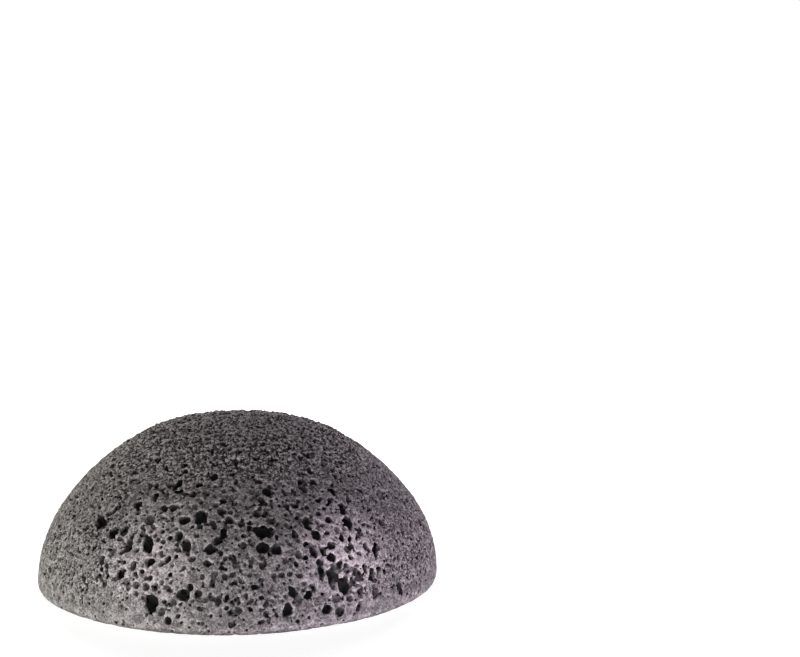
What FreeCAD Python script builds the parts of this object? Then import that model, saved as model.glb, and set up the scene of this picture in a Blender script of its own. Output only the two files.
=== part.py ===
"""Half-ball konjac sponge: one foam moulding, parted into the zones that it gives between when squeezed.

The sponge stands on its flat face. Its origin is the middle of that face, with +Z up through the crown.
Lengths are in millimetres and angles in degrees.
"""

import FreeCAD, Part
import Sketcher
import math
import os

# Driving sizes: alias, value, what it is.
DRIVING_SIZES = [
    ("sponge_diameter", 80.0, "across the dome at its widest"),
    ("sponge_height", 35.0, "from the flat face to the top of the crown"),
    ("rim_radius", 2.0, "roll of the lower edge"),
    ("shoulder_radius", 26.5, "arc of the flank, upright where it meets the rim"),
    ("base_height", 6.0, "depth of the foam that stays put under a squeeze"),
    ("crown_height", 11.0, "depth of the foam that a fingertip pushes down"),
    ("cell_count", 180, "larger open cells in the moulded face"),
    ("cell_smallest", 1.8, "width of the smallest of these cells"),
    ("cell_largest", 5.0, "width of the largest of these cells"),
    ("cell_rim_gap", 1.0, "plain band between the rim roll and the lowest cell"),
    ("cell_top_gap", 0.4, "drop from the top of the crown to the highest cell"),
]

# The cells' spread: the turn from one to the next, and the step through their range of widths.
GOLDEN_TURN = 180.0 * (3.0 - math.sqrt(5.0))
WIDTH_STEP = math.sqrt(2.0) - 1.0
# The largest cell at the top of the crown, as a share of the largest on the flank.
CROWN_CELL_SHARE = 0.45
# How far a cell's middle stands off the face, in cell radii.
CELL_LIFT = 0.3
# A cell this near to a parting plane, in cell radii, would leave a sliver.
GRAZE_INSIDE = 0.75
GRAZE_OUTSIDE = 1.15
# Share of the volume by which the measured zones and the measured whole may differ.
VOLUME_SLACK = 1e-3


def make_sheet(doc):
    """Puts the driving sizes into a sheet, one aliased cell each."""
    sheet = doc.addObject("Spreadsheet::Sheet", "Sizes")
    for row, (alias, value, meaning) in enumerate(DRIVING_SIZES, start=1):
        sheet.set(f"A{row}", alias)
        sheet.set(f"B{row}", str(value))
        sheet.setAlias(f"B{row}", alias)
        sheet.set(f"C{row}", meaning)
    doc.recompute()
    return sheet


def origin_plane(body, role):
    """The plane of this role in the body's own origin."""
    return next(item for item in body.Origin.OriginFeatures if item.Role == role)


class DomeOutline:
    """Half section of the dome: rim roll, flank arc and crown arc, each tangent to the next."""

    def __init__(self, sheet):
        self.radius = float(sheet.sponge_diameter) / 2.0
        self.height = float(sheet.sponge_height)
        self.rim = float(sheet.rim_radius)
        self.shoulder = float(sheet.shoulder_radius)
        rise = self.height - self.rim
        inset = self.radius - self.shoulder
        self.crown = (inset**2 + rise**2 - self.shoulder**2) / (2.0 * (rise - self.shoulder))
        self.crown_centre = self.height - self.crown
        self.turn = math.atan2(self.rim - self.crown_centre, inset)
        self.meeting_height = self.crown_centre + self.crown * math.sin(self.turn)

    def face_at(self, height):
        """Point of the outer face at this height, and its outward direction, as (reach, climb) pairs."""
        if height > self.meeting_height:
            arc_x, arc_z, arc_radius = 0.0, self.crown_centre, self.crown
        else:
            arc_x, arc_z, arc_radius = self.radius - self.shoulder, self.rim, self.shoulder
        climb = (height - arc_z) / arc_radius
        reach = math.sqrt(1.0 - climb**2)
        return (arc_x + arc_radius * reach, height), (reach, climb)


def arc(centre_x, centre_z, radius, start, end):
    """Arc in the sketch plane, counter-clockwise from start to end, in radians."""
    circle = Part.Circle(FreeCAD.Vector(centre_x, centre_z, 0), FreeCAD.Vector(0, 0, 1), radius)
    return Part.ArcOfCircle(circle, start, end)


def line(start_x, start_z, end_x, end_z):
    """Straight edge in the sketch plane."""
    return Part.LineSegment(FreeCAD.Vector(start_x, start_z, 0), FreeCAD.Vector(end_x, end_z, 0))


def draw_outline(sketch, outline):
    """Draws the half section and ties it to the sheet."""
    inner = outline.radius - outline.rim
    flank_x = outline.radius - outline.shoulder
    base = sketch.addGeometry(line(0, 0, inner, 0))
    rim = sketch.addGeometry(arc(inner, outline.rim, outline.rim, -math.pi / 2, 0))
    flank = sketch.addGeometry(arc(flank_x, outline.rim, outline.shoulder, 0, outline.turn))
    crown = sketch.addGeometry(
        arc(0, outline.crown_centre, outline.crown, outline.turn, math.pi / 2)
    )
    axis = sketch.addGeometry(line(0, outline.height, 0, 0))
    start, end, centre = 1, 2, 3
    origin, across, upright = (-1, 1), -1, -2

    def tie(*words):
        return sketch.addConstraint(Sketcher.Constraint(*words))

    tie("Coincident", base, start, *origin)
    tie("Coincident", axis, end, *origin)
    tie("PointOnObject", base, end, across)
    tie("PointOnObject", axis, start, upright)
    tie("Tangent", base, end, rim, start)
    tie("Tangent", rim, end, flank, start)
    tie("Tangent", flank, end, crown, start)
    tie("Coincident", crown, end, axis, start)
    tie("PointOnObject", crown, centre, upright)
    tie("Horizontal", rim, centre, rim, end)
    bound = {
        tie("DistanceX", *origin, rim, end, outline.radius): "Sizes.sponge_diameter / 2",
        tie("DistanceY", *origin, axis, start, outline.height): "Sizes.sponge_height",
        tie("Radius", rim, outline.rim): "Sizes.rim_radius",
        tie("Radius", flank, outline.shoulder): "Sizes.shoulder_radius",
    }
    for constraint, expression in bound.items():
        sketch.setExpression(f"Constraints[{constraint}]", expression)


def make_moulding(doc, outline):
    """The whole sponge without its open cells, turned about the upright axis."""
    body = doc.addObject("PartDesign::Body", "Moulding")
    body.Label = "moulding"
    sketch = body.newObject("Sketcher::SketchObject", "HalfSection")
    sketch.AttachmentSupport = [(origin_plane(body, "XZ_Plane"), "")]
    sketch.MapMode = "FlatFace"
    draw_outline(sketch, outline)
    dome = body.newObject("PartDesign::Revolution", "Dome")
    dome.Profile = sketch
    dome.ReferenceAxis = (sketch, ["V_Axis"])
    dome.Angle = 360.0
    doc.recompute()
    return body


def cell_width(share, climb, sheet):
    """Width of a cell: few are large, and those near the crown are finer."""
    smallest = float(sheet.cell_smallest)
    largest = float(sheet.cell_largest)
    fineness = 1.0 - (1.0 - CROWN_CELL_SHARE) * climb**2
    return smallest + (largest * fineness - smallest) * share**2


def make_cell(outline, height, turn, radius):
    """Ball that opens one round cell in the dome's face, with its centre lifted a little off the face."""
    (reach, _), (out, up) = outline.face_at(height)
    ball = Part.makeSphere(radius)
    centre = FreeCAD.Vector(reach + CELL_LIFT * radius * out, 0, height + CELL_LIFT * radius * up)
    outward = FreeCAD.Vector(out, 0, up)
    sideways = FreeCAD.Vector(0, 1, 0)
    # The ball's seam faces outward and its poles sideways, so the cell's wall is one plain patch.
    ball.Placement = FreeCAD.Placement(
        centre, FreeCAD.Rotation(outward, FreeCAD.Vector(), sideways, "XZY")
    )
    ball.rotate(FreeCAD.Vector(), FreeCAD.Vector(0, 0, 1), turn)
    return ball


def make_cells(doc, sheet, outline):
    """Round cells opened in the dome's face, spread evenly over it by golden turns."""
    count = int(sheet.cell_count)
    lowest = outline.rim + float(sheet.cell_rim_gap)
    highest = outline.height - float(sheet.cell_top_gap)
    base_plane = float(sheet.base_height)
    crown_plane = outline.height - float(sheet.crown_height)
    balls = []
    for index in range(count):
        climb = (index + 0.5) / count
        radius = cell_width((index * WIDTH_STEP) % 1.0, climb, sheet) / 2.0
        height = max(lowest + radius, lowest + (highest - lowest) * climb)
        # A cell that would only graze a parting plane is made smaller, so it leaves no sliver.
        for plane in (base_plane, crown_plane):
            if GRAZE_INSIDE * radius < abs(height - plane) < GRAZE_OUTSIDE * radius:
                radius *= GRAZE_INSIDE / GRAZE_OUTSIDE
        balls.append(make_cell(outline, height, index * GOLDEN_TURN, radius))
    cells = doc.addObject("Part::Feature", "OpenCells")
    cells.Label = "open_cells"
    cells.Shape = Part.makeCompound(balls)
    return cells


def make_slab(doc, name, floor, height):
    """Disc wider than the sponge that marks the height span of one zone."""
    slab = doc.addObject("Part::Cylinder", name)
    slab.setExpression("Radius", "Sizes.sponge_diameter")
    slab.setExpression("Height", height)
    slab.setExpression("Placement.Base.z", floor)
    return slab


def make_zone(doc, foam, label, floor, height):
    """The foam between two heights, as its own solid."""
    slab = make_slab(doc, label + "_span", floor, height)
    zone = doc.addObject("Part::Common", label)
    zone.Label = label
    zone.Base = foam
    zone.Tool = slab
    return zone


def make_sponge(doc):
    """Builds the moulding, opens its cells and parts it into its zones."""
    sheet = make_sheet(doc)
    outline = DomeOutline(sheet)
    foam = doc.addObject("Part::Cut", "Foam")
    foam.Label = "foam"
    foam.Base = make_moulding(doc, outline)
    foam.Tool = make_cells(doc, sheet, outline)
    crown_floor = "Sizes.sponge_height - Sizes.crown_height"
    zones = [
        make_zone(doc, foam, "flat_base", "0", "Sizes.base_height"),
        make_zone(doc, foam, "foam_core", "Sizes.base_height", crown_floor + " - Sizes.base_height"),
        make_zone(doc, foam, "dome_crown", crown_floor, "Sizes.crown_height"),
    ]
    doc.recompute()
    return foam, zones


def check(doc, foam, zones):
    """Stops if anything failed to build, or if the zones don't make up the whole sponge."""
    for item in doc.Objects:
        if {"Invalid", "Error"} & set(item.State):
            raise RuntimeError(f"{item.Label} failed: {item.State}")
    for zone in zones:
        if zone.Shape.isNull() or not zone.Shape.isValid() or len(zone.Shape.Solids) != 1:
            raise RuntimeError(f"{zone.Label} is not one sound solid")
    parted = sum(zone.Shape.Volume for zone in zones)
    if abs(parted - foam.Shape.Volume) > VOLUME_SLACK * foam.Shape.Volume:
        raise RuntimeError("the zones don't add up to the sponge")
    print(f"sponge {foam.Shape.Volume / 1000.0:.1f} cm3, {len(foam.Shape.Faces)} faces")


def main():
    """Builds the sponge and writes one file for each zone."""
    doc = FreeCAD.newDocument("KonjacSponge")
    foam, zones = make_sponge(doc)
    check(doc, foam, zones)
    os.makedirs("parts", exist_ok=True)
    for zone in zones:
        zone.Shape.exportStep(f"parts/{zone.Label}.step")


main()
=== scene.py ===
"""Charcoal konjac sponge: a half-ball of open-cell foam, lying on its flat face on a pale studio floor.

The foam is one piece. It is modelled as a field of distances on a fine grid: the moulded dome, roughened by
its grain, with thousands of round cells opened in it. The field is then turned into one mesh.
Lengths are in metres.
"""

import logging
import math
from dataclasses import dataclass, field, replace
from enum import Enum

import bpy
import numpy as np
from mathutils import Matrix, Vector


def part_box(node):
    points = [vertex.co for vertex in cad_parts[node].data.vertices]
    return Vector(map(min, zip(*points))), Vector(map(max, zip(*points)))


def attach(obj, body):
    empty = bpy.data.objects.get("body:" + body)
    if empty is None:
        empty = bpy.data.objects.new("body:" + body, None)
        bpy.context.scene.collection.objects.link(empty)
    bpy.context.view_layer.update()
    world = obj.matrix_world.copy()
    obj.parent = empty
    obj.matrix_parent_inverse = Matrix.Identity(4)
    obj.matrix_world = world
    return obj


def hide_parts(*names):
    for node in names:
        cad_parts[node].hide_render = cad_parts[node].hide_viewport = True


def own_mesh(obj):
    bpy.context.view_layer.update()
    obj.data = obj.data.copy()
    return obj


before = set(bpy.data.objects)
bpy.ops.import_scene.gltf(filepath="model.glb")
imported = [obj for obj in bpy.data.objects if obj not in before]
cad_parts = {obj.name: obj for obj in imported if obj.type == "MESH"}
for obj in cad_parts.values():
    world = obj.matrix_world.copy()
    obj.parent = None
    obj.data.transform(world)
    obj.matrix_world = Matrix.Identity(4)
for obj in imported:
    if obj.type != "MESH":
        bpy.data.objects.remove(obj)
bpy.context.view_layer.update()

import openvdb

LOG = logging.getLogger("sponge")
MM = 0.001
BODY = "base"
SLOT = "charcoal_foam"
ZONES = ("flat_base", "foam_core", "dome_crown")
Colour = tuple[float, float, float]
Span = tuple[float, float]
Array = np.ndarray
Socket = bpy.types.NodeSocket
Value = Socket | float | Colour
WHITE: Colour = (1.0, 1.0, 1.0)
TINY = 1e-12


def ramp(values: Array, start: float, end: float) -> Array:
    """0 at the start, 1 at the end and even in between."""
    return np.clip((values - start) / (end - start), 0, 1)


@dataclass(frozen=True)
class PhotoView:
    """The photograph's camera, found from the outline of the sponge in it.

    Pixels are in the photograph's own frame of 800 by 657.
    """

    image_width: int = 800
    image_height: int = 657
    focal_px: float = 2000.0
    sponge_x_px: float = 238.8
    sponge_y_px: float = 581.7
    distance: float = 409.4 * MM
    elevation_deg: float = 14.68
    sensor: float = 36.0
    nearest: float = 10 * MM

    @property
    def pitch(self) -> float:
        """How far the camera looks down, in radians."""
        drop = (self.sponge_y_px - self.image_height / 2) / self.focal_px
        return math.radians(self.elevation_deg) - math.atan(drop)

    def ray(self, x_px: float, y_px: float) -> Array:
        """Direction in which the camera sees a pixel.

        Args:
            x_px: Pixel across, from the left.
            y_px: Pixel down, from the top.

        Returns:
            A unit vector in the sponge's frame.
        """
        across = (x_px - self.image_width / 2) / self.focal_px
        down = (y_px - self.image_height / 2) / self.focal_px
        sine, cosine = math.sin(self.pitch), math.cos(self.pitch)
        seen = np.array([across, cosine - down * sine, -sine - down * cosine])
        return seen / np.linalg.norm(seen)

    @property
    def place(self) -> Array:
        """Where the camera stands."""
        return -self.ray(self.sponge_x_px, self.sponge_y_px) * self.distance

    def make_camera(self) -> bpy.types.Object:
        """Makes the scene's camera.

        Returns:
            The camera object.
        """
        data = bpy.data.cameras.new("photo_view")
        data.sensor_width = self.sensor
        data.lens = self.sensor * self.focal_px / self.image_width
        camera = bpy.data.objects.new("photo_view", data)
        camera.location = self.place
        camera.rotation_euler = (math.pi / 2 - self.pitch, 0.0, 0.0)
        data.clip_start = self.nearest
        bpy.context.collection.objects.link(camera)
        bpy.context.scene.camera = camera
        return camera


@dataclass
class DomeOutline:
    """Half section of the moulded dome: rim roll, flank arc and crown arc, each tangent to the next.

    Attributes:
        radius: Half the dome's width.
        height: The dome's height.
        rim: Radius of the rim roll.
        shoulder: Radius of the flank arc.
        lean: How far the dome leans to the right for its height.
        climb_deg: Climbs from the middle of the flat face, in degrees.
        stand_off_mm: How far the real face stands off the arcs at these climbs, outward, in millimetres.
        ray_steps: Steps along a camera ray to the dome's face.
    """

    radius: float
    height: float
    rim: float = 2.2 * MM
    shoulder: float = 26.5 * MM
    lean: float = 0.012
    climb_deg: tuple[float, ...] = (0.0, 30.0, 50.0, 60.0, 68.0, 74.0, 80.0, 85.0, 90.0)
    stand_off_mm: tuple[float, ...] = (0.0, -0.3, -0.05, 0.08, -0.15, -0.42, -0.66, -0.8, -0.85)
    ray_steps: int = 60

    def __post_init__(self) -> None:
        """Works out the crown arc from the other sizes."""
        rise = self.height - self.rim
        inset = self.radius - self.shoulder
        self.crown = (inset**2 + rise**2 - self.shoulder**2) / (2 * (rise - self.shoulder))
        self.crown_centre = self.height - self.crown
        self.turn = math.atan2(self.rim - self.crown_centre, inset)

    def side_distance(self, reach: Array, height: Array) -> Array:
        """Signed distance to the dome's side, without the flat face, negative inside.

        Args:
            reach: Distances from the dome's axis.
            height: Heights above the flat face.

        Returns:
            The distances.
        """
        above = np.arctan2(height - self.crown_centre, reach) > self.turn
        crown = np.hypot(reach, height - self.crown_centre) - self.crown
        flank = np.hypot(reach - (self.radius - self.shoulder), height - self.rim) - self.shoulder
        side = np.where(above, crown, flank)
        corner = (height < self.rim) & (reach > self.radius - self.rim)
        roll = np.hypot(reach - (self.radius - self.rim), height - self.rim) - self.rim
        side = np.where(corner, roll, np.where(height < self.rim, reach - self.radius, side))
        climb = np.degrees(np.arctan2(height, reach))
        return side - np.interp(climb, self.climb_deg, self.stand_off_mm) * MM

    def distance(self, reach: Array, height: Array) -> Array:
        """Signed distance to the dome's whole face, negative inside."""
        return np.maximum(self.side_distance(reach, height), -height)

    def reach_of(self, points: Array) -> Array:
        """Distance of points, one row each, from the dome's slightly leaning axis."""
        return np.hypot(points[:, 0] - self.lean * points[:, 2], points[:, 1])

    def distance_at(self, points: Array) -> Array:
        """Signed distance of points, one row each, to the dome's whole face."""
        return self.distance(self.reach_of(points), points[:, 2])

    def profile(self, count: int = 400) -> Array:
        """Lists points of the half section, from the crown's top to the flat face.

        Args:
            count: Points for each arc.

        Returns:
            The points, as (reach, height) rows.
        """
        arcs = (
            (math.pi / 2, self.turn, self.crown, (0.0, self.crown_centre)),
            (self.turn, 0.0, self.shoulder, (self.radius - self.shoulder, self.rim)),
            (0.0, -math.pi / 2, self.rim, (self.radius - self.rim, self.rim)),
        )
        rows = []
        for first, last, radius, centre in arcs:
            turns = np.linspace(first, last, count, endpoint=False)
            rows.append(np.stack([np.cos(turns), np.sin(turns)], 1) * radius + centre)
        return np.concatenate([*rows, [(self.radius - self.rim, 0.0)]])

    def outward(self, points: Array) -> Array:
        """Finds the outward direction of the dome's face.

        Args:
            points: Points on the face, one row each.

        Returns:
            Unit vectors, one row each.
        """
        nudge = 0.01 * MM
        slopes = [
            self.distance_at(points + step) - self.distance_at(points - step)
            for step in np.eye(3) * nudge
        ]
        normal = np.stack(slopes, 1)
        return normal / np.linalg.norm(normal, axis=1, keepdims=True)

    def seen_at(self, view: PhotoView, x_px: float, y_px: float) -> Array:
        """Finds the point of the dome's face that the photograph shows at a pixel.

        Args:
            view: The photograph's camera.
            x_px: Pixel across, from the left.
            y_px: Pixel down, from the top.

        Returns:
            The point.
        """
        place, ray = view.place, view.ray(x_px, y_px)
        reach = 0.0
        for _ in range(self.ray_steps):
            reach += float(self.distance_at((place + ray * reach)[None])[0])
        return place + ray * reach


@dataclass(frozen=True)
class PhotoCell:
    """One of the larger open cells, as read off the photograph, in its pixels.

    Attributes:
        x: Its middle across, from the left.
        y: Its middle down, from the top.
        across: Its width.
        down: Its height.
        depth: 1 for a deep cell, and less for one whose floor shows.
    """

    x: float
    y: float
    across: float
    down: float
    depth: float = 1.0


PHOTO_CELLS = tuple(PhotoCell(*cell) for cell in (
    # The crown and the upper flank
    (158, 459, 8, 5), (185, 465, 6, 4), (235, 461, 6, 6), (214, 476, 7, 6), (178, 484, 10, 9),
    (199, 485, 7, 6), (134, 473, 7, 3), (259, 481, 6, 4), (267, 491, 9, 8), (252, 492, 6, 5, 0.5),
    (193, 494, 6, 5), (206, 493, 7, 6, 0.6), (156, 496, 7, 5), (303, 489, 7, 7, 0.6),
    (299, 473, 7, 5, 0.5), (340, 483, 6, 5), (331, 492, 7, 6), (364, 490, 4, 8, 0.6),
    (326, 462, 6, 5, 0.6), (307, 456, 7, 4), (352, 452, 6, 4, 0.6), (359, 481, 6, 5, 0.7),
    (347, 479, 7, 5, 0.5),
    # The flank above its middle
    (138, 504, 8, 6), (116, 509, 6, 7), (100, 521, 9, 8), (105, 525, 6, 5, 0.5), (124, 530, 10, 7, 0.7),
    (113, 533, 10, 7), (164, 508, 7, 7), (173, 508, 8, 6, 0.7), (150, 520, 8, 7, 0.7),
    (184, 521, 10, 9), (201, 517, 12, 10), (212, 523, 6, 5), (229, 520, 8, 7, 0.7),
    (222, 511, 8, 7, 0.6), (223, 501, 8, 4), (261, 500, 6, 5), (257, 513, 6, 6), (271, 521, 7, 7, 0.7),
    (241, 524, 6, 5), (287, 507, 7, 5), (329, 501, 7, 5, 0.7), (317, 501, 6, 4), (341, 510, 11, 9, 0.5),
    (347, 522, 9, 9), (368, 514, 8, 14, 0.6), (386, 520, 9, 13, 0.5), (381, 528, 5, 7),
    (328, 520, 8, 6), (306, 521, 7, 8), (308, 527, 6, 5),
    # The middle of the flank
    (263, 531, 15, 12), (263, 547, 11, 9), (276, 549, 11, 10, 0.8), (211, 549, 10, 9), (217, 541, 9, 7),
    (224, 532, 6, 10), (148, 544, 12, 13), (186, 545, 9, 9, 0.7), (179, 536, 6, 7),
    (243, 545, 6, 6, 0.7), (233, 558, 6, 8), (128, 546, 7, 9, 0.6), (95, 547, 5, 7),
    (113, 550, 6, 7, 0.4), (295, 534, 6, 5, 0.7), (316, 535, 8, 8), (341, 538, 6, 8), (349, 539, 5, 6),
    (331, 546, 8, 6), (347, 549, 6, 6, 0.5), (351, 546, 6, 6, 0.6), (366, 547, 6, 7, 0.7),
    (375, 550, 8, 11), (314, 552, 6, 11), (323, 551, 6, 6), (332, 557, 10, 7), (299, 554, 6, 6),
    (350, 558, 6, 5), (262, 557, 8, 5, 0.5),
    # The double hollow on the right and the cells round it
    (333, 577, 14, 18, 0.6), (344, 585, 12, 16, 0.55), (335, 569, 10, 8, 0.5), (321, 562, 8, 6),
    (340, 564, 6, 6), (347, 568, 8, 9, 0.4), (323, 572, 5, 8), (353, 580, 6, 7), (359, 574, 10, 9, 0.5),
    (372, 576, 9, 10, 0.7), (365, 569, 5, 7, 0.7), (361, 591, 6, 5, 0.6), (375, 590, 9, 11, 0.5),
    (350, 599, 6, 5), (337, 598, 8, 8, 0.4), (400, 589, 9, 8, 0.5),
    # The lower flank
    (293, 592, 8, 12), (309, 595, 8, 7), (298, 600, 8, 8, 0.4), (317, 601, 6, 6, 0.5),
    (288, 560, 6, 6, 0.4), (262, 565, 6, 5), (250, 575, 6, 5, 0.7), (282, 575, 6, 5),
    (207, 563, 7, 6, 0.7), (225, 577, 6, 6), (214, 575, 6, 6, 0.6), (212, 583, 6, 6, 0.6),
    (189, 588, 8, 7), (183, 595, 14, 9), (198, 594, 8, 7), (201, 599, 7, 6, 0.4), (150, 604, 13, 17),
    (173, 603, 6, 6, 0.7), (133, 565, 6, 8), (149, 562, 9, 8), (160, 564, 6, 5, 0.7), (167, 559, 5, 7),
    (121, 574, 7, 10, 0.8), (146, 587, 6, 6, 0.7), (154, 587, 5, 6), (136, 585, 6, 5),
    (126, 582, 7, 6, 0.5), (104, 585, 5, 6, 0.7), (142, 573, 6, 6, 0.5), (102, 561, 6, 6),
    (255, 587, 7, 4),
    # Down by the rim
    (327, 610, 10, 8), (340, 612, 9, 9, 0.5), (288, 610, 10, 8, 0.7), (359, 607, 5, 6),
    (200, 609, 7, 5), (161, 612, 6, 7, 0.6), (168, 621, 6, 6), (218, 601, 5, 6), (237, 611, 8, 8, 0.6),
    (251, 610, 6, 6), (266, 605, 4, 6), (266, 614, 6, 6), (231, 624, 8, 6, 0.6),
))


class Spread(Enum):
    """Where a population of cells lies."""

    COARSE = "coarse foam"
    UPPER = "upper flank"


@dataclass(frozen=True)
class CellSize:
    """One population of cells drawn at random over the foam's face.

    Attributes:
        smallest: Least radius.
        largest: Greatest radius.
        density: Cells for each square metre where they are densest.
        floor: Share of that density where they are rarest.
        depth: About how deep they are for their width.
        spread: Where they are dense.
    """

    smallest: float
    largest: float
    density: float
    floor: float
    depth: float
    spread: Spread = Spread.COARSE


UPPER_CELLS = CellSize(0.28 * MM, 0.56 * MM, 0.110 / MM**2, 0.0, 2.4, Spread.UPPER)
FINE_CELLS = CellSize(0.27 * MM, 0.52 * MM, 0.440 / MM**2, 0.05, 1.5)
OPEN_CELLS = CellSize(0.50 * MM, 1.05 * MM, 0.065 / MM**2, 0.0, 1.0)
WIDE_CELLS = CellSize(1.15 * MM, 2.10 * MM, 0.005 / MM**2, 0.0, 0.8)


@dataclass(frozen=True)
class Bubbles:
    """One dense layer of small cells, about one in each cube of the pitch.

    Attributes:
        pitch: Side of the cube that holds one.
        smallest: Least radius.
        largest: Greatest radius.
        skew: Above 1, small ones are commoner.
        floor: Share of cubes that hold one where the foam is finest.
        ceiling: Share where it is coarsest.
        rim: Share down at the rim.
        uneven: How far their walls wander.
    """

    pitch: float
    smallest: float
    largest: float
    skew: float
    floor: float
    ceiling: float
    rim: float
    uneven: float


FINE_BUBBLES = Bubbles(0.75 * MM, 0.18 * MM, 0.40 * MM, 1.0, 0.95, 0.30, 0.30, 0.12 * MM)
SMALL_BUBBLES = Bubbles(1.30 * MM, 0.25 * MM, 0.60 * MM, 1.3, 0.08, 0.65, 0.06, 0.15 * MM)


@dataclass(frozen=True)
class CoarseLobe:
    """A stretch of the flank where the foam is coarse, by its turn from the front, in radians."""

    middle: float
    half_width: float
    fade: float


@dataclass(frozen=True)
class FoamZones:
    """Where the foam is coarse and where it is fine.

    It is coarse on some stretches of the flank, rough and less coarse on the crown, and smooth at the rim.
    A rise or fall runs between two shares of the dome's height. A grain is what a zone adds to the plain 1.

    Attributes:
        height: The dome's height.
        lobes: The coarse stretches.
        calm: Coarseness between them.
        crown_open: Coarseness on the crown.
        rim_top: Height at which the smooth rim ends.
        rim_full: Height below which it is fully smooth.
    """

    height: float
    lobes: tuple[CoarseLobe, ...] = (
        CoarseLobe(0.12, 0.97, 0.50), CoarseLobe(2.5, 0.75, 0.5), CoarseLobe(-2.3, 0.85, 0.5)
    )
    calm: float = 0.15
    crown_open: float = 0.38
    rim_top: float = 8.0 * MM
    rim_full: float = 3.2 * MM
    flank_rise: Span = (0.09, 0.22)
    flank_fall: Span = (0.95, 0.73)
    upper_rise: Span = (0.62, 0.72)
    upper_fall: Span = (0.985, 0.865)
    crown_rise: Span = (0.70, 0.90)
    crown_grain: float = 2.2
    coarse_grain: float = -0.40
    rim_grain: float = -0.50

    def around(self, turn: Array) -> Array:
        """Finds the coarseness around the dome.

        Args:
            turn: Turns from the front, in radians.

        Returns:
            Coarseness there, from 0 to 1.
        """
        share = np.full(turn.shape, self.calm)
        for lobe in self.lobes:
            off = np.abs((turn - lobe.middle + math.pi) % (2 * math.pi) - math.pi)
            share = np.maximum(share, ramp(off, lobe.half_width, lobe.half_width - lobe.fade))
        return share

    def band(self, height: Array) -> Array:
        """Coarseness at heights, from 0 at the crown and rim to 1 on the flank."""
        share = height / self.height
        return ramp(share, *self.flank_rise) * ramp(share, *self.flank_fall)

    def crown(self, height: Array) -> Array:
        """1 up on the crown, fading to 0 below it."""
        return ramp(height / self.height, *self.crown_rise)

    def upper(self, height: Array) -> Array:
        """1 on the upper flank, fading to 0 below it and at the crown's top."""
        share = height / self.height
        return ramp(share, *self.upper_rise) * ramp(share, *self.upper_fall)

    def coarseness(self, points: Array) -> Array:
        """Coarseness at points, one row each."""
        flank = self.around(np.arctan2(points[:, 0], -points[:, 1])) * self.band(points[:, 2])
        return np.maximum(flank, self.crown_open * self.crown(points[:, 2]))

    def rim(self, height: Array) -> Array:
        """1 down at the rim, fading to 0 above it."""
        return ramp(height, self.rim_top, self.rim_full)

    def grain(self, coarseness: Array, height: Array) -> Array:
        """How strong the grain is: rough on the crown, weaker in the coarse foam and at the rim."""
        flank = 1 + self.coarse_grain * coarseness
        return flank + self.crown_grain * self.crown(height) + self.rim_grain * self.rim(height)


class Side(Enum):
    """The two faces of the moulding."""

    DOME = "dome"
    UNDERSIDE = "underside"


def value_noise(shape: tuple[int, int, int], span: float, rng: np.random.Generator) -> Array:
    """Smooth random field between -1 and 1.

    Args:
        shape: Size of the grid.
        span: Grid steps from one random value to the next.
        rng: Seeded source of the random values.

    Returns:
        The field, as single-precision numbers.
    """
    coarse = [int(math.ceil(size / span)) + 2 for size in shape]
    values = rng.uniform(-1, 1, coarse).astype(np.float32)
    for axis, size in enumerate(shape):
        place = np.arange(size) / span
        low = np.floor(place).astype(int)
        blend = (place - low).astype(np.float32)
        blend = blend * blend * (3 - 2 * blend)
        blend = blend.reshape([-1 if a == axis else 1 for a in range(3)])
        values = values.take(low, axis) * (1 - blend) + values.take(low + 1, axis) * blend
    return values


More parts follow.
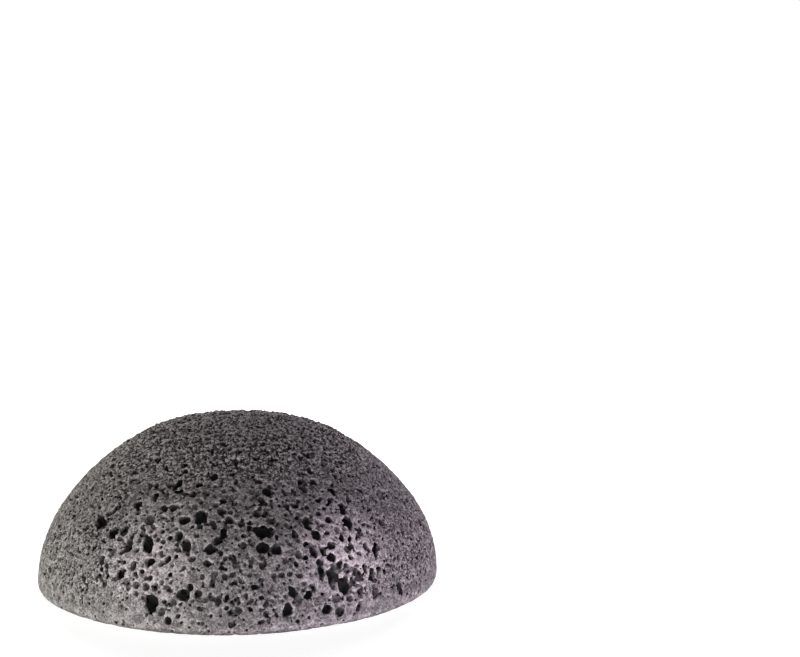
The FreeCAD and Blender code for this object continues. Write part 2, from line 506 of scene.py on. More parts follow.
@dataclass
class FoamGrid:
    """Distances to the foam's surface on a regular grid, negative inside the foam."""

    outline: DomeOutline
    step: float = 0.25 * MM
    margin: float = 1.5 * MM
    lifted_rim: float = 3.4 * MM
    lift_turn_deg: float = 55.0
    lift_reach_deg: float = 40.0
    reach_samples: int = 2000
    corner_reach: float = 1.5
    bubble_reach: float = 1.6
    bubble_place: Span = (0.1, 0.9)
    uneven_shift: int = 7
    cell_margin: float = 1.3
    seed: int = 7
    distances: Array = field(init=False)

    def __post_init__(self) -> None:
        """Lays out the grid and fills it with the plain moulded dome."""
        wide = self.outline.radius + self.margin
        self.low = np.array([-wide, -wide, -self.margin])
        high = np.array([wide, wide, self.outline.height + self.margin])
        self.shape = tuple(np.ceil((high - self.low) / self.step).astype(int) + 1)
        self.axes = [self.low[a] + self.step * np.arange(self.shape[a]) for a in range(3)]
        self.rng = np.random.default_rng(self.seed)
        self.distances = np.empty(self.shape, np.float32)
        reaches = np.linspace(0, wide * self.corner_reach, self.reach_samples)
        lifted = replace(self.outline, rim=self.lifted_rim)
        self.turn = np.arctan2(self.axes[0][:, None], -self.axes[1])
        off = np.abs(np.degrees(self.turn) - self.lift_turn_deg)
        lift = ramp(off, self.lift_reach_deg, 0.0)
        for index, height in enumerate(self.axes[2]):
            x = self.axes[0] - self.outline.lean * height
            reach = np.hypot(x[:, None], self.axes[1])
            plain, high = (
                np.interp(reach, reaches, shape.distance(reaches, np.full_like(reaches, height)))
                for shape in (self.outline, lifted)
            )
            self.distances[:, :, index] = plain + (high - plain) * lift

    def grain(self, zones: FoamZones) -> Array:
        """How strong the foam's grain is at each place of the grid."""
        coarseness = zones.around(self.turn)[:, :, None] * zones.band(self.axes[2])
        return zones.grain(coarseness, self.axes[2]).astype(np.float32)

    def roughen(self, span: float, depth: float | Array) -> None:
        """Makes the face uneven, by at most the depth, over waves as long as the span."""
        self.distances += depth * value_noise(self.shape, span / self.step, self.rng)

    def keep_face(self) -> None:
        """Notes the face as it is now, before any cell is opened."""
        self.face = self.distances.copy()

    def keep_flat_face(self) -> None:
        """Cuts the foam off level at the flat face."""
        np.maximum(self.distances, -self.axes[2].astype(np.float32), out=self.distances)

    def prepare_wobble(self, span: float) -> None:
        """Draws the field that makes the cells' walls uneven."""
        self.wobble = value_noise(self.shape, span / self.step, self.rng)

    def below_face(self, points: Array) -> Array:
        """Measures how far points lie below the noted face.

        Args:
            points: The points, one row each.

        Returns:
            Their depths.
        """
        place = (points - self.low) / self.step
        first = np.clip(np.floor(place).astype(int), 0, np.array(self.shape) - 2)
        share = place - first
        total = np.zeros(len(points))
        for corner in np.ndindex(2, 2, 2):
            weight = np.prod(np.where(corner, share, 1 - share), axis=1)
            total += weight * self.face[tuple((first + corner).T)]
        return -total

    def open_bubbles(self, bubbles: Bubbles, zones: FoamZones) -> int:
        """Opens a dense layer of small cells all over the foam's surface, in the large cells too.

        Args:
            bubbles: The layer's sizes.
            zones: Where the foam is coarse.

        Returns:
            How many bubbles there are within the grid.
        """
        deepest = -bubbles.largest * self.bubble_reach
        near = np.nonzero((self.distances > deepest) & (self.distances < self.step))
        place = np.stack([self.axes[a][near[a]] - self.low[a] for a in range(3)], 1).astype(np.float32)
        uneven = self.wobble[near] * bubbles.uneven
        place += np.stack([uneven, np.roll(uneven, self.uneven_shift), -uneven], 1)
        place = place / bubbles.pitch + 1
        count = tuple(int(size * self.step / bubbles.pitch) + 4 for size in self.shape)
        middles = np.stack(np.indices(count), -1).astype(np.float32)
        middles += self.rng.uniform(*self.bubble_place, (*count, 3)).astype(np.float32)
        spread = self.rng.uniform(0, 1, count) ** bubbles.skew
        radii = (bubbles.smallest + (bubbles.largest - bubbles.smallest) * spread) / bubbles.pitch
        points = ((middles - 1) * bubbles.pitch + self.low).reshape(-1, 3)
        share = bubbles.floor + (bubbles.ceiling - bubbles.floor) * zones.coarseness(points)
        share += (bubbles.rim - share) * zones.rim(points[:, 2])
        # A radius below 0 marks a cube without a bubble.
        radii[self.rng.uniform(0, 1, count) > share.reshape(count)] = -1.0
        radii = radii.astype(np.float32)
        cell = np.floor(place).astype(np.int32)
        best = np.full(len(place), -1.0, np.float32)
        for offset in np.ndindex(3, 3, 3):
            index = tuple(np.clip(cell[:, a] + offset[a] - 1, 0, count[a] - 1) for a in range(3))
            gap = place - middles[index]
            reach = radii[index] - np.sqrt(np.einsum("ij,ij->i", gap, gap))
            np.maximum(best, reach, out=best)
        self.distances[near] = np.maximum(self.distances[near], best * np.float32(bubbles.pitch))
        return int((radii > 0).sum())

    def open_cell(self, centre: Array, axes: Array, radii: Array, uneven: float) -> None:
        """Hollows out one cell.

        Args:
            centre: Middle of the cell.
            axes: Its three directions, one row each.
            radii: Its half widths along them.
            uneven: How uneven its wall is, as a share of its least half width.
        """
        reach = radii.max() * self.cell_margin + self.step
        first = np.maximum(np.floor((centre - reach - self.low) / self.step).astype(int), 0)
        last = np.minimum(np.ceil((centre + reach - self.low) / self.step).astype(int) + 1, self.shape)
        if (first >= last).any():
            return
        box = tuple(slice(a, b) for a, b in zip(first, last))
        x, y, z = (self.axes[a][box[a]] - centre[a] for a in range(3))
        squares = 0.0
        for axis, radius in zip(axes, radii):
            along = x[:, None, None] * axis[0] + y[None, :, None] * axis[1] + z[None, None, :] * axis[2]
            squares = squares + (along / radius) ** 2
        least = radii.min()
        inside = (1 - np.sqrt(squares) + uneven * self.wobble[box]) * least
        np.maximum(self.distances[box], inside, out=self.distances[box])

    def to_mesh(self) -> tuple[Array, Array]:
        """Turns the field into a surface.

        Returns:
            The points in metres, and the four point numbers of each face.
        """
        grid = openvdb.FloatGrid(float(self.margin / self.step))
        grid.copyFromArray(np.ascontiguousarray(self.distances / self.step))
        points, quads = grid.convertToQuads()
        return points.astype(np.float64) * self.step + self.low, quads.astype(np.int64)


def largest_piece(points: Array, quads: Array) -> tuple[Array, Array]:
    """Keeps the one surface that holds most points, without loose crumbs and closed bubbles.

    Args:
        points: All points, one row each.
        quads: Point numbers of each face.

    Returns:
        The points and faces that stay.
    """
    label = np.arange(len(points))
    while True:
        least = label[quads].min(1)
        new = label.copy()
        for corner in quads.T:
            np.minimum.at(new, corner, least)
        new = new[new]
        if (new == label).all():
            break
        label = new
    main = np.bincount(label).argmax()
    quads = quads[label[quads[:, 0]] == main]
    used = np.unique(quads)
    place = np.zeros(len(points), np.int64)
    place[used] = np.arange(len(used))
    return points[used], place[quads]


@dataclass
class CellMaker:
    """Opens the cells of the foam: those that the photograph shows, and the rest at random.

    A span holds the limits of an even random draw, as a share of the cell's own size.

    Attributes:
        least_in_photo: Radius above which a cell that the photograph would show is in its list.
        lip: What the grain takes off a cell's radius, which is added beforehand.
        uneven: How uneven the cells' walls are.
        tilt: How far the cells are turned in the face, in radians.
        stretch: Their widths.
        deepness: Their depths.
        sinking: How far their middles lie below the face.
        depth_spread: How the depths of one population differ.
        least_facing: Least share by which the photograph foreshortens a cell.
        clearance: Room that the photograph's cells keep, as a share of both radii.
        underside_coarseness: Coarseness of the flat face.
        upright: Beyond this, a direction is too near to upright to be crossed with Z.
        skew: Above 1, small cells are commoner.
    """

    outline: DomeOutline
    grid: FoamGrid
    view: PhotoView
    zones: FoamZones
    least_in_photo: float = 0.62 * MM
    lip: float = 0.08 * MM
    uneven: float = 0.36
    tilt: float = 0.35
    stretch: Span = (0.88, 1.14)
    deepness: Span = (0.8, 1.4)
    sinking: Span = (0.2, 0.6)
    depth_spread: Span = (0.7, 1.1)
    least_facing: float = 0.35
    clearance: float = 0.9
    underside_coarseness: float = 0.45
    upright: float = 0.9
    skew: float = 2.0
    seed: int = 23

    def __post_init__(self) -> None:
        """Starts the seeded draws and the list of the photograph's cells."""
        self.rng = np.random.default_rng(self.seed)
        self.taken: list[tuple[Array, float]] = []

    def draw_dome(self, count: int) -> Array:
        """Draws random points spread evenly over the dome's face.

        Args:
            count: How many.

        Returns:
            The points, one row each.
        """
        rows = self.outline.profile()
        middle = (rows[1:] + rows[:-1]) / 2
        area = np.linalg.norm(np.diff(rows, axis=0), axis=1) * middle[:, 0]
        along = np.interp(self.rng.uniform(0, 1, count), np.cumsum(area) / area.sum(), np.arange(len(area)))
        reach = np.interp(along, np.arange(len(area)), middle[:, 0])
        height = np.interp(along, np.arange(len(area)), middle[:, 1])
        turn = self.rng.uniform(0, 2 * math.pi, count)
        x = reach * np.cos(turn) + self.outline.lean * height
        return np.stack([x, reach * np.sin(turn), height], 1)

    def draw_underside(self, count: int) -> Array:
        """Draws random points spread evenly over the flat face.

        Args:
            count: How many.

        Returns:
            The points, one row each.
        """
        reach = (self.outline.radius - self.outline.rim) * np.sqrt(self.rng.uniform(0, 1, count))
        turn = self.rng.uniform(0, 2 * math.pi, count)
        return np.stack([reach * np.cos(turn), reach * np.sin(turn), np.zeros(count)], 1)

    def open_at(
        self, point: Array, outward: Array, radius: float, squeeze: float = 1.0, depth: float = 1.0
    ) -> None:
        """Opens one cell whose middle lies a little below the face.

        Args:
            point: Where the cell opens.
            outward: The face's outward direction there.
            radius: The cell's mean half width.
            squeeze: Its width across the face over its width down it.
            depth: 1 for a deep cell, and less for a shallow one.
        """
        side = np.cross(outward, (0.0, 0.0, 1.0) if abs(outward[2]) < self.upright else (0.0, 1.0, 0.0))
        side /= np.linalg.norm(side)
        down = np.cross(outward, side)
        turn = self.rng.normal(0, self.tilt)
        axes = np.stack([
            side * math.cos(turn) + down * math.sin(turn),
            down * math.cos(turn) - side * math.sin(turn),
            outward,
        ])
        wide = self.rng.uniform(*self.stretch) * math.sqrt(squeeze)
        tall = self.rng.uniform(*self.stretch) / math.sqrt(squeeze)
        deep = self.rng.uniform(*self.deepness) * depth
        radii = radius * np.array([wide, tall, deep])
        sunk = self.rng.uniform(*self.sinking) * radii[2]
        self.grid.open_cell(point - outward * sunk, axes, radii, self.uneven)

    def open_photo_cells(self) -> int:
        """Opens the large cells that the photograph shows, each where it shows them.

        Returns:
            How many were opened.
        """
        scale = self.view.distance / self.view.focal_px
        for cell in PHOTO_CELLS:
            point = self.outline.seen_at(self.view, cell.x, cell.y)
            outward = self.outline.outward(point[None])[0]
            facing = max(self.least_facing, -float(outward @ self.view.ray(cell.x, cell.y)))
            across = cell.across * scale
            down = cell.down * scale / facing
            radius = math.sqrt(across * down) / 2 + self.lip
            self.open_at(point, outward, radius, across / down, cell.depth)
            self.taken.append((point, radius))
        return len(PHOTO_CELLS)

    def is_free(self, point: Array, radius: float) -> bool:
        """True if a cell here would stay clear of the photograph's cells."""
        return all(
            np.linalg.norm(point - other) > self.clearance * (radius + reach) for other, reach in self.taken
        )

    def in_photo(self, point: Array) -> bool:
        """True if the photograph shows this point of the dome."""
        return bool(self.outline.outward(point[None])[0] @ (self.view.place - point) > 0)

    def scatter(self, size: CellSize, side: Side) -> int:
        """Opens one population of cells over one face.

        Args:
            size: The population.
            side: The face.

        Returns:
            How many cells were opened.
        """
        if side is Side.DOME:
            area = 2 * math.pi * self.outline.radius * self.outline.height
            points = self.draw_dome(int(size.density * area))
            upper = size.spread is Spread.UPPER
            spread = self.zones.upper(points[:, 2]) if upper else self.zones.coarseness(points)
            share = size.floor + (1 - size.floor) * spread
            outward = self.outline.outward(points)
        else:
            reach = self.outline.radius - self.outline.rim
            points = self.draw_underside(int(size.density * math.pi * reach**2))
            share = np.full(len(points), size.floor + (1 - size.floor) * self.underside_coarseness)
            outward = np.tile((0.0, 0.0, -1.0), (len(points), 1))
        keep = self.rng.uniform(0, 1, len(points)) < share
        skewed = self.rng.uniform(0, 1, len(points)) ** self.skew
        radii = size.smallest + (size.largest - size.smallest) * skewed
        count = 0
        for point, direction, radius in zip(points[keep], outward[keep], radii[keep]):
            if not self.is_free(point, radius):
                continue
            if radius > self.least_in_photo and side is Side.DOME and self.in_photo(point):
                continue
            self.open_at(point, direction, radius, depth=size.depth * self.rng.uniform(*self.depth_spread))
            count += 1
        return count


class Neighbours:
    """Which points of a surface are joined by an edge of a face."""

    def __init__(self, quads: Array, size: int) -> None:
        """Lists the edges.

        Args:
            quads: Point numbers of each face.
            size: How many points there are.
        """
        self.first = np.concatenate([quads[:, a] for a in range(4)])
        self.second = np.concatenate([quads[:, (a + 1) % 4] for a in range(4)])
        self.count = np.bincount(self.first, minlength=size) + np.bincount(self.second, minlength=size)

    def mean(self, values: Array) -> Array:
        """Averages over each point's neighbours.

        Args:
            values: One value for each point.

        Returns:
            The means, and 0 for a point without neighbours.
        """
        total = np.bincount(self.first, values[self.second], len(values))
        total += np.bincount(self.second, values[self.first], len(values))
        return total / np.maximum(self.count, 1)


@dataclass
class SkinMap:
    """Lays the foam's surface out flat, the dome in one field of the map and the underside in the other.

    Attributes:
        outline: The moulded dome.
        dome_share: The dome's part of the map's height.
        gutter: Free strip round each field.
        rounds: How often the map is evened out, so that the steep walls of the cells get room in it.
    """

    outline: DomeOutline
    dome_share: float = 0.74
    gutter: float = 0.004
    rounds: int = 60

    @staticmethod
    def squared(along: Array, turn: Array) -> Array:
        """Spreads a disc over a square.

        Args:
            along: Distances from the disc's middle, 1 at its edge.
            turn: Directions, in radians.

        Returns:
            Places between 0 and 1, one row each.
        """
        ray = np.stack([np.cos(turn), np.sin(turn)], 1)
        ray /= np.abs(ray).max(1, keepdims=True)
        return 0.5 + 0.5 * ray * along[:, None]

    def is_under(self, points: Array, quads: Array) -> Array:
        """Tells which faces lie nearer to the flat face than to the dome's side."""
        nearer = self.outline.side_distance(self.outline.reach_of(points), points[:, 2]) + points[:, 2]
        return nearer[quads].mean(1) < 0

    def dome_places(self, points: Array) -> Array:
        """Finds places in the dome's field, by the way down the half section and the turn.

        Args:
            points: The points, one row each.

        Returns:
            Their places, between 0 and 1.
        """
        rows = self.outline.profile()
        way = np.concatenate([[0.0], np.cumsum(np.linalg.norm(np.diff(rows, axis=0), axis=1))])
        climb = np.arctan2(rows[:, 1], rows[:, 0])
        reach = np.hypot(points[:, 0], points[:, 1])
        along = np.interp(-np.arctan2(points[:, 2], reach), -climb, way / way[-1])
        return self.squared(along, np.arctan2(points[:, 1], points[:, 0]))

    def under_places(self, points: Array) -> Array:
        """Places of points in the underside's field."""
        along = ramp(np.hypot(points[:, 0], points[:, 1]), 0.0, self.outline.radius)
        return self.squared(along, np.arctan2(points[:, 1], points[:, 0]))

    def evened(self, places: Array, quads: Array, fixed: Array) -> Array:
        """Moves each place to the middle of its neighbours, again and again.

        Args:
            places: Places of all points in a field, one row each.
            quads: The faces of that field.
            fixed: True for the points that stay.

        Returns:
            The evened places.
        """
        near = Neighbours(quads, len(places))
        loose = (near.count > 0) & ~fixed
        for _ in range(self.rounds):
            for a in range(2):
                places[loose, a] = near.mean(places[:, a])[loose]
        return places

    def lay_out(self, points: Array, quads: Array) -> Array:
        """Makes the map.

        Args:
            points: The surface's points.
            quads: Its faces.

        Returns:
            The place of each corner of each face, one row each.
        """
        under = self.is_under(points, quads)
        seam = np.zeros(len(points), bool)
        seam[np.intersect1d(quads[under], quads[~under])] = True
        fields = (
            (self.dome_places, ~under, 0.0, self.dome_share),
            (self.under_places, under, self.dome_share, 1.0),
        )
        corners = np.empty((*quads.shape, 2))
        for places, mine, low, high in fields:
            even = self.evened(places(points), quads[mine], seam)
            size = np.array([1.0, high - low]) - 2 * self.gutter
            corners[mine] = (even * size + (self.gutter, low + self.gutter))[quads[mine]]
        return corners.reshape(-1, 2)


class NodeBoard:
    """A tree of shader nodes, with short ways to add those that the scene needs."""

    def __init__(self, tree: bpy.types.NodeTree) -> None:
        """Starts with the tree's own nodes."""
        self.nodes = tree.nodes
        self.links = tree.links

    def fill(self, node: bpy.types.Node, inputs: dict[str | int, Value]) -> None:
        """Feeds a node.

        Args:
            node: The node.
            inputs: For each input, by name or number, a number, a colour or a socket that gives one.
        """
        for name, value in inputs.items():
            if isinstance(value, Socket):
                self.links.new(value, node.inputs[name])
            else:
                node.inputs[name].default_value = (*value, 1.0) if isinstance(value, tuple) else value

    def add(self, kind: str, inputs: dict[str | int, Value], **settings: str) -> bpy.types.Node:
        """Adds a node.

        Args:
            kind: Blender's name for the kind of node.
            inputs: What it is fed.
            settings: Its settings by Blender's names.

        Returns:
            The node.
        """
        node = self.nodes.new("ShaderNode" + kind)
        for name, setting in settings.items():
            setattr(node, name, setting)
        self.fill(node, inputs)
        return node

    def place(self, kind: str = "Object") -> Socket:
        """Where the shaded point lies."""
        return self.add("TexCoord", {}).outputs[kind]

    def along(self, axis: str, kind: str = "Object") -> Socket:
        """Where the shaded point lies along one axis."""
        return self.add("SeparateXYZ", {0: self.place(kind)}).outputs[axis]

    def seen(self) -> Socket:
        """Tells rays that see a thing from rays that light it.

        Returns:
            1 for rays that see it, straight or in a mirror or glass, and 0 for the others.
        """
        path = self.add("LightPath", {}).outputs
        mirrored = self.math("MAXIMUM", path["Is Camera Ray"], path["Is Glossy Ray"])
        return self.math("MAXIMUM", mirrored, path["Is Transmission Ray"])

    def noise(self, wave: float, detail: float, rough: float = 0.5) -> Socket:
        """A smooth random pattern of about 0.5, with detail and roughness in the way of Blender's node."""
        inputs = {"Vector": self.place(), "Scale": 1 / wave, "Detail": detail, "Roughness": rough}
        return self.add("TexNoise", inputs).outputs["Fac"]

    def attribute(self, name: str) -> Socket:
        """A number that the mesh's points hold."""
        return self.add("Attribute", {}, attribute_name=name).outputs["Fac"]

    def share(
        self, value: Socket, low: float, high: float, ends: Span = (0.0, 1.0), kind: str = "LINEAR"
    ) -> Socket:
        """A value's place between two limits.

        Args:
            value: The value.
            low: The lower limit.
            high: The upper limit.
            ends: What comes out at these limits.
            kind: Blender's name for the way between them.

        Returns:
            The result.
        """
        names = ("Value", "From Min", "From Max", "To Min", "To Max")
        inputs = dict(zip(names, (value, low, high, *ends)))
        return self.add("MapRange", inputs, interpolation_type=kind).outputs["Result"]

    def blend(self, amount: Value, first: Value, second: Value, kind: str = "MIX") -> Socket:
        """A colour made of two others.

        Args:
            amount: 0 for the first and 1 for the second.
            first: A colour, or a socket that gives one.
            second: The other colour.
            kind: Blender's name for the way, such as MIX or MULTIPLY.

        Returns:
            The blended colour.
        """
        node = self.add("Mix", {"Factor": amount}, data_type="RGBA", blend_type=kind)
        colours = [number for number, socket in enumerate(node.inputs) if socket.type == "RGBA"]
        self.fill(node, dict(zip(colours, (first, second))))
        return next(socket for socket in node.outputs if socket.type == "RGBA")

    def math(self, kind: str, *values: Value) -> Socket:
        """Values put together in one of Blender's ways, such as MULTIPLY_ADD."""
        return self.add("Math", dict(enumerate(values)), operation=kind).outputs[0]


@dataclass(frozen=True)
class FoamFinish:
    """Matte charcoal foam with speckled walls, painted highlights on the raised wall edges and painted
    shade down in the cells.
    Painted light brightens a few patches, and a painted colour cast of the light runs from warm on the left
    to purple on the right.
    """

    dark_fleck: Colour = (0.045, 0.041, 0.042)
    wall: Colour = (0.190, 0.180, 0.184)
    pale_fleck: Colour = (0.580, 0.553, 0.562)
    # The dark of the painted shade down in the cells.
    painted_hollow_shade: Colour = (0.026, 0.024, 0.024)
    # A painted colour cast of the light: warm on the left, purple on the right.
    left_light_cast: Colour = (1.0, 0.99, 0.93)
    right_light_cast: Colour = (1.04, 0.93, 1.03)
    roughness: float = 0.95
    gloss: float = 0.15
    fleck_wave: float = 0.32 * MM
    fleck_detail: float = 3.0
    fleck_rough: float = 0.6
    noise_middle: float = 0.5
    dark_span: float = 0.13
    pale_span: float = 0.155
    tint_wave: float = 18.0 * MM
    tint_reach: float = 24.0 * MM
    tint_detail: float = 1.0
    clump_wave: float = 1.5 * MM
    clump_share: float = 0.30
    blotch_wave: float = 0.6 * MM
    patch_detail: float = 2.0
    blotch_share: float = 1.5
    blotch_middle: float = 0.507
    # Painted highlight on the raised wall edges.
    edge_highlight_share: float = 0.06
    # Painted light on a few pale patches: how much paler, and its tint.
    painted_light_share: float = 0.10
    painted_light_tint: Colour = (1.9, 1.82, 1.9)
    # Shares of the cells' depth over which the painted shade goes from none to full.
    hollow_shade_span: Span = (0.07, 0.72)
    bump_depth: float = 0.16 * MM
    bump_strength: float = 0.7

    def tone(self, board: NodeBoard, flecks: Socket) -> Socket:
        """Mixes the foam's tone: flecks in clumps, with blotches where the grain is rough.

        Args:
            board: The material's nodes.
            flecks: The pattern of the flecks.

        Returns:
            The tone, higher where paler.
        """
        clumps = board.noise(self.clump_wave, self.patch_detail)
        blotches = board.noise(self.blotch_wave, self.patch_detail)
        grain = board.attribute("grain")
        tone = board.math("MULTIPLY", board.math("SUBTRACT", flecks, self.noise_middle), grain)
        rough = board.math("MAXIMUM", board.math("SUBTRACT", grain, 1.0), 0.0)
        rough = board.math("MULTIPLY", rough, self.blotch_share)
        blotches = board.math("SUBTRACT", blotches, self.blotch_middle)
        tone = board.math("MULTIPLY_ADD", blotches, rough, tone)
        # The edge layer is a painted highlight on the raised wall edges, and the pale layer is painted
        # light on a few patches.
        layers = (
            (clumps, self.clump_share),
            (board.attribute("edge"), self.edge_highlight_share),
            (board.attribute("pale"), self.painted_light_share),
        )
        for layer, share in layers:
            tone = board.math("MULTIPLY_ADD", layer, share, tone)
        return tone

    def colour(self, board: NodeBoard) -> tuple[Socket, Socket]:
        """Mixes the foam's colour.

        Args:
            board: The material's nodes.

        Returns:
            The colour, and the pattern of its flecks.
        """
        flecks = board.noise(self.fleck_wave, self.fleck_detail, self.fleck_rough)
        tone = self.tone(board, flecks)
        middle = self.noise_middle * self.clump_share
        colour = board.blend(board.share(tone, middle - self.dark_span, middle), self.dark_fleck, self.wall)
        colour = board.blend(board.share(tone, middle, middle + self.pale_span), colour, self.pale_fleck)
        # Painted colour cast of the light, from warm on the left to purple on the right, across a wandering
        # line.
        waves = board.noise(self.tint_wave, self.tint_detail)
        wander = board.math("MULTIPLY_ADD", waves, self.tint_wave, board.along("X"))
        centre = self.noise_middle * self.tint_wave
        side = board.share(wander, centre - self.tint_reach, centre + self.tint_reach)
        colour = board.blend(1.0, colour, board.blend(side, self.left_light_cast, self.right_light_cast), "MULTIPLY")
        # Painted shade: deep in the cells and along the rim's lower edge, the colour goes to the dark of
        # the hollows.
        colour = board.blend(board.share(board.attribute("sunk"), *self.hollow_shade_span), colour, self.painted_hollow_shade)
        # Painted light makes the pale patches paler.
        return board.blend(board.attribute("pale"), colour, self.painted_light_tint, "MULTIPLY"), flecks

    def make(self) -> bpy.types.Material:
        """Builds the material.

        Returns:
            The finished material.
        """
        material = bpy.data.materials.new(SLOT)
        material.use_nodes = True
        board = NodeBoard(material.node_tree)
        colour, flecks = self.colour(board)
        bump = board.add(
            "Bump", {"Strength": self.bump_strength, "Distance": self.bump_depth, "Height": flecks}
        )
        board.fill(board.nodes["Principled BSDF"], {
            "Roughness": self.roughness,
            "Specular IOR Level": self.gloss,
            "Base Color": colour,
            "Normal": bump.outputs["Normal"],
        })
        return material


@dataclass(frozen=True)
class PaintedLightPatch:
    """A patch of painted light on the foam, which the photograph shows paler, with its middle in the
    photograph's pixels.
    """

    x_px: float
    y_px: float
    reach: float
    strength: float


@dataclass
class SpongeBody:
    """The foam half-ball."""

    view: PhotoView
    finish: FoamFinish
    grain_span: float = 0.6 * MM
    grain_depth: float = 0.13 * MM
    warp_span: float = 14.0 * MM
    warp_depth: float = 0.2 * MM
    wobble_span: float = 0.8 * MM
    wall_rounds: int = 4
    wall_relief: float = 0.12 * MM
    # Depth below the face at which the painted shade in the cells is full.
    hollow_depth: float = 1.5 * MM
    # The painted shade along the rim's lower edge, where the foam meets the floor.
    edge_height: float = 1.5 * MM
    edge_inset: float = 1.4
    edge_shade: float = 0.65
    # Patches of painted light on the foam.
    lit_patches: tuple[PaintedLightPatch, ...] = (
        PaintedLightPatch(347.0, 556.0, 12.0 * MM, 0.9),
        PaintedLightPatch(150.0, 560.0, 14.0 * MM, 0.55),
        PaintedLightPatch(315.0, 595.0, 11.0 * MM, 0.15),
    )

    def __post_init__(self) -> None:
        """Takes the sizes from the frame."""
        (low, high), (_, top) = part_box("flat_base"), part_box("dome_crown")
        self.outline = DomeOutline(radius=(high.x - low.x) / 2, height=top.z)
        self.zones = FoamZones(self.outline.height)

    def model(self) -> tuple[Array, Array]:
        """Models the foam.

        Returns:
            The points and the faces of its surface.
        """
        grid = FoamGrid(self.outline)
        grid.roughen(self.warp_span, self.warp_depth)
        grid.keep_face()
        grid.roughen(self.grain_span, self.grain_depth * grid.grain(self.zones))
        grid.keep_flat_face()
        grid.prepare_wobble(self.wobble_span)
        cells = CellMaker(self.outline, grid, self.view, self.zones)
        LOG.info("cells of the photograph: %d", cells.open_photo_cells())
        for side in Side:
            for size in (WIDE_CELLS, OPEN_CELLS, FINE_CELLS):
                LOG.info("cells of the %s: %d", side.value, cells.scatter(size, side))
        LOG.info("cells of the %s: %d", UPPER_CELLS.spread.value, cells.scatter(UPPER_CELLS, Side.DOME))
        for bubbles in (SMALL_BUBBLES, FINE_BUBBLES):
            LOG.info("bubbles: %d", grid.open_bubbles(bubbles, self.zones))
        points, quads = largest_piece(*grid.to_mesh())
        self.sunk = grid.below_face(points)
        return points, quads

    def edges_and_hollows(self, points: Array, quads: Array) -> tuple[Array, Array]:
        """Finds the raised edges of the cell walls, which get a painted highlight, and the depths of the
        cells, which get painted shade.

        Args:
            points: The surface's points.
            quads: Its faces.

        Returns:
            For each point, how far it stands out from its surroundings, and how deep it lies.
        """
        near = Neighbours(quads, len(points))
        smooth = points
        for _ in range(self.wall_rounds):
            smooth = np.stack([near.mean(smooth[:, a]) for a in range(3)], 1)
        normal = np.zeros_like(points)
        corners = points[quads]
        cross = np.cross(corners[:, 2] - corners[:, 0], corners[:, 3] - corners[:, 1])
        for corner in quads.T:
            for a in range(3):
                normal[:, a] += np.bincount(corner, cross[:, a], len(points))
        normal /= np.linalg.norm(normal, axis=1, keepdims=True) + TINY
        proud = ((points - smooth) * normal).sum(1)
        return np.clip(proud / self.wall_relief, -1, 1), ramp(self.sunk, 0.0, self.hollow_depth)

    def painted_light_at(self, points: Array) -> Array:
        """Finds how far points belong to the patches of painted light.

        Args:
            points: The points, one row each.

        Returns:
            Shares from 0 to 1.
        """
        pale = np.zeros(len(points))
        for patch in self.lit_patches:
            middle = self.outline.seen_at(self.view, patch.x_px, patch.y_px)
            away = np.linalg.norm(points - middle, axis=1)
            pale = np.maximum(pale, patch.strength * ramp(away, patch.reach, 0.0))
        return pale

    def painted_contact_shade(self, points: Array) -> Array:
        """Finds how far points belong to the painted shade along the rim's lower edge, where the foam meets
        the floor.

        Args:
            points: The points, one row each.

        Returns:
            Shares from 0 to the line's shade.
        """
        inside = self.outline.radius - self.edge_inset * self.outline.rim
        out = ramp(np.hypot(points[:, 0], points[:, 1]), inside, inside + self.outline.rim)
        return self.edge_shade * out * ramp(points[:, 2], self.edge_height, 0.0)

    def build(self) -> bpy.types.Object:
        """Makes the mesh object and dresses it.

        Returns:
            The finished piece.
        """
        points, quads = self.model()
        mesh = bpy.data.meshes.new("konjac_foam")
        mesh.vertices.add(len(points))
        mesh.vertices.foreach_set("co", points.astype(np.float32).ravel())
        mesh.loops.add(quads.size)
        mesh.loops.foreach_set("vertex_index", quads.astype(np.int32).ravel())
        mesh.polygons.add(len(quads))
        mesh.polygons.foreach_set("loop_start", np.arange(0, quads.size, 4, dtype=np.int32))
        mesh.update(calc_edges=True)
        mesh.validate()
        mesh.shade_smooth()
        edge, sunk = self.edges_and_hollows(points, quads)
        # Painted shade along the rim's lower edge, mixed in with the shade of the cells.
        sunk = np.maximum(sunk, self.painted_contact_shade(points))
        # Painted light on a few patches.
        pale = self.painted_light_at(points)
        grain = self.zones.grain(self.zones.coarseness(points), points[:, 2])
        for name, values in (("edge", edge), ("sunk", sunk), ("pale", pale), ("grain", grain)):
            mesh.attributes.new(name, "FLOAT", "POINT").data.foreach_set("value", values.astype(np.float32))
        places = SkinMap(self.outline).lay_out(points, quads)
        mesh.uv_layers.new(name="OFBake").uv.foreach_set("vector", places.astype(np.float32).ravel())
        mesh.materials.append(self.finish.make())
        foam = bpy.data.objects.new("konjac_foam", mesh)
        bpy.context.collection.objects.link(foam)
        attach(foam, BODY)
        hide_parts(*ZONES)
        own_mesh(foam)
        return foam


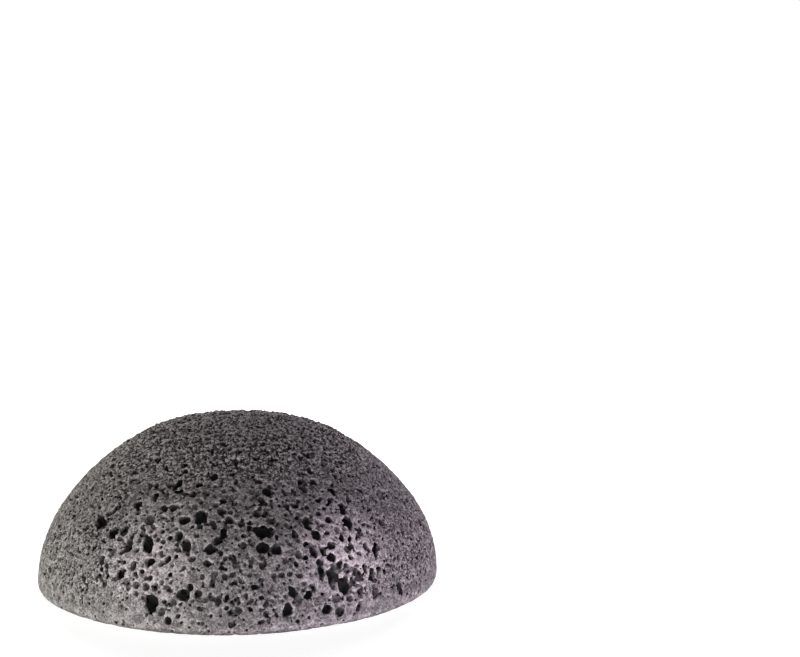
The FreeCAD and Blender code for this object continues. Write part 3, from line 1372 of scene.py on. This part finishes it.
@dataclass(frozen=True)
class Lamp:
    """One soft lamp that points at the sponge.

    Attributes:
        name: The lamp's name.
        turn_deg: Its azimuth, 0 in front of the sponge and 90 to its right.
        climb_deg: Its height angle.
        power: Its power in watts.
        width: Its width.
        height: Its height.
        tint: Its colour.
    """

    name: str
    turn_deg: float
    climb_deg: float
    power: float
    width: float
    height: float
    tint: Colour

    def make(self, away: float) -> bpy.types.Object:
        """Makes the lamp.

        Args:
            away: Its distance from the sponge.

        Returns:
            The lamp object.
        """
        turn, climb = math.radians(self.turn_deg), math.radians(self.climb_deg)
        data = bpy.data.lights.new(self.name, "AREA")
        data.energy = self.power
        data.shape = "RECTANGLE"
        data.size = self.width
        data.size_y = self.height
        data.color = self.tint
        lamp = bpy.data.objects.new(self.name, data)
        lamp.location = (
            away * math.sin(turn) * math.cos(climb),
            -away * math.cos(turn) * math.cos(climb),
            away * math.sin(climb),
        )
        lamp.rotation_euler = (math.pi / 2 - climb, 0.0, turn)
        lamp.visible_camera = False
        bpy.context.collection.objects.link(lamp)
        return lamp


@dataclass
class Studio:
    """Pale floor lit from below like a light table, white backdrop, soft lamps at the left and behind."""

    floor_side: float = 6.0
    floor_colour: Colour = (0.92, 0.92, 0.92)
    near_white: float = 0.80
    shadow_reach: float = 160 * MM
    shadow_core: float = 0.3
    horizon: float = 0.74
    overhead: float = 0.01
    sky_top: float = 0.8
    lamp_distance: float = 0.8
    table_side: float = 2.0
    table_drop: float = 0.12
    table_level: float = 0.94
    lamps: tuple[Lamp, ...] = (
        Lamp("left_lamp", -85.0, 3.0, 2.3, 0.5, 0.16, (1.0, 0.98, 0.90)),
        Lamp("back_lamp", 180.0, 30.0, 4.0, 0.6, 0.3, WHITE),
    )

    def make_floor(self) -> bpy.types.Object:
        """Makes the floor, which the camera sees as white but for the sponge's shadow.

        Returns:
            The floor.
        """
        half = self.floor_side / 2
        mesh = bpy.data.meshes.new("floor")
        corners = [(-half, -half, 0), (half, -half, 0), (half, half, 0), (-half, half, 0)]
        mesh.from_pydata(corners, [], [(0, 1, 2, 3)])
        mesh.materials.append(self.floor_finish())
        floor = bpy.data.objects.new("floor", mesh)
        bpy.context.collection.objects.link(floor)
        # The table lamp shines through the floor, which therefore casts no shadow and throws no light back.
        floor.visible_shadow = False
        floor.visible_diffuse = False
        return floor

    def floor_finish(self) -> bpy.types.Material:
        """Makes the floor's matte finish, with a white of its own for the camera.

        Returns:
            The finish.
        """
        material = bpy.data.materials.new("floor")
        material.use_nodes = True
        board = NodeBoard(material.node_tree)
        board.nodes.clear()
        matte = board.add("BsdfDiffuse", {"Color": self.floor_colour})
        reach = board.add("VectorMath", {0: board.place()}, operation="LENGTH").outputs["Value"]
        core = self.shadow_core * self.shadow_reach
        fill = board.share(reach, core, self.shadow_reach, (self.near_white, 1.0), "SMOOTHSTEP")
        white = board.add("Emission", {"Strength": board.math("MULTIPLY", fill, board.seen())})
        both = board.add("AddShader", {0: matte.outputs[0], 1: white.outputs[0]})
        board.add("OutputMaterial", {"Surface": both.outputs[0]})
        return material

    def make_world(self) -> bpy.types.World:
        """Makes the room's light, bright at the horizon and dim overhead, but white to the camera.

        Returns:
            The world.
        """
        world = bpy.data.worlds.new("studio")
        bpy.context.scene.world = world
        world.use_nodes = True
        board = NodeBoard(world.node_tree)
        sky = board.share(board.along("Z", "Generated"), 0.0, self.sky_top, (self.horizon, self.overhead))
        strength = board.add("Mix", {"Factor": board.seen(), "A": sky, "B": 1.0}).outputs["Result"]
        board.fill(board.nodes["Background"], {"Color": WHITE, "Strength": strength})
        return world

    def make_table_lamp(self) -> bpy.types.Object:
        """Makes the wide lamp below the floor, which shines up through it as a light table's does.

        Returns:
            The lamp.
        """
        power = self.table_level * math.pi * self.table_side**2
        lamp = Lamp("table_lamp", 0.0, -90.0, power, self.table_side, self.table_side, WHITE)
        return lamp.make(self.table_drop)

    def build(self) -> None:
        """Makes the floor, the world and the lamps."""
        self.make_floor()
        self.make_world()
        self.make_table_lamp()
        for lamp in self.lamps:
            lamp.make(self.lamp_distance)
        bpy.context.scene.view_settings.view_transform = "Standard"


def main() -> None:
    """Builds the scene and reports each piece."""
    logging.basicConfig(level=logging.INFO, format="%(message)s", force=True)
    view = PhotoView()
    view.make_camera()
    Studio().build()
    foam = SpongeBody(view, FoamFinish()).build()
    LOG.info("%s: %d points, %d faces", foam.name, len(foam.data.vertices), len(foam.data.polygons))
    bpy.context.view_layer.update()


if __name__ == "__main__":
    main()
